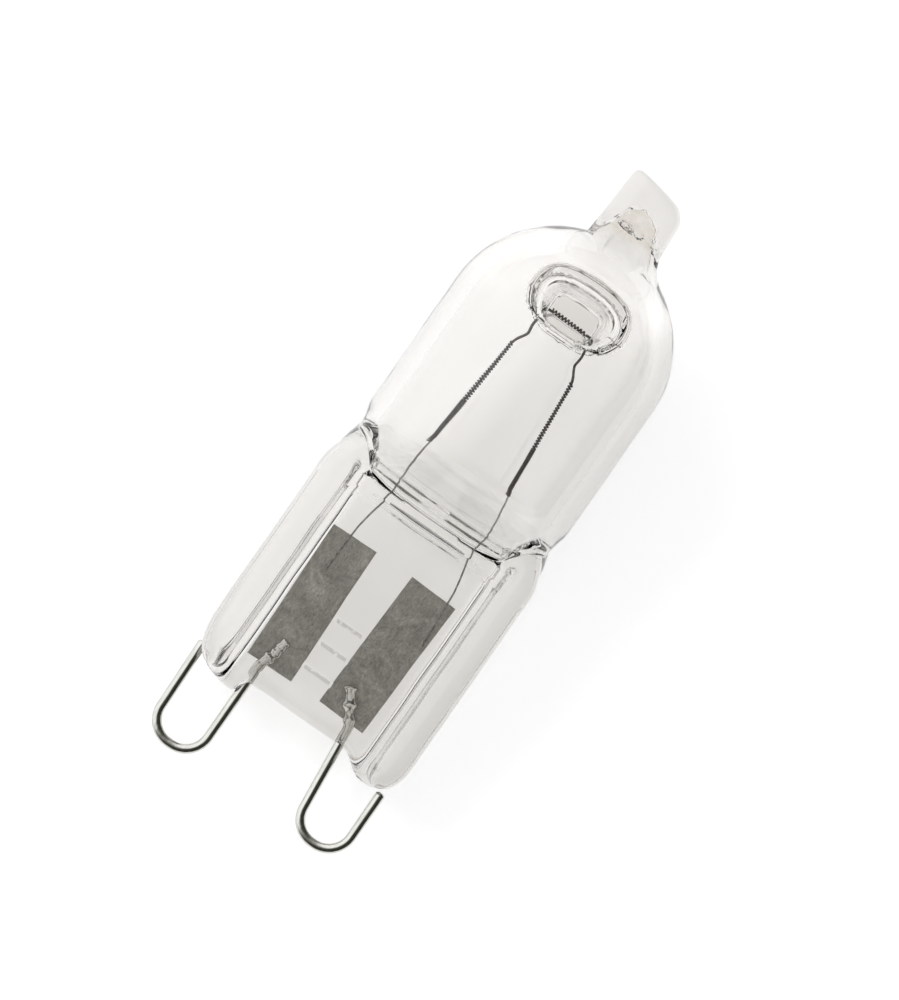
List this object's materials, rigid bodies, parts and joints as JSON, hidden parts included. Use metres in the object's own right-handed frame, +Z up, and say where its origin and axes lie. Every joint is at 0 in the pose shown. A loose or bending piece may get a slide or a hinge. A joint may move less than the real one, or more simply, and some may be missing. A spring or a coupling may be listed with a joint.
{
  "type": "halogen capsule bulb",
  "caption": "Press-sealed quartz capsule lamp with a folded coiled filament on fused dimples, foil seals in the flat web and wire pin loops below.",
  "frame": {"origin": "middle of the underside of the lamp as it lies at rest on its back", "axes": "+X along the lamp towards the exhaust tip, +Z up, out of the front of the seal"},
  "size_m": [0.0382, 0.0132, 0.0139],
  "materials": {
    "quartz": "clear fused quartz, fire polished",
    "tungsten": "dark grey drawn wire",
    "lead_wire": "grey drawn wire",
    "foil": "dull grey rolled foil, slightly wrinkled",
    "pin_wire": "bright drawn wire"
  },
  "bodies": {
    "root": {"quartz_envelope": "quartz", "filament": "tungsten", "inner_lead_left": "lead_wire", "inner_lead_right": "lead_wire", "foil_left": "foil", "foil_right": "foil", "contact_loop_left": "pin_wire", "contact_loop_right": "pin_wire"}
  },
  "joints": []
}
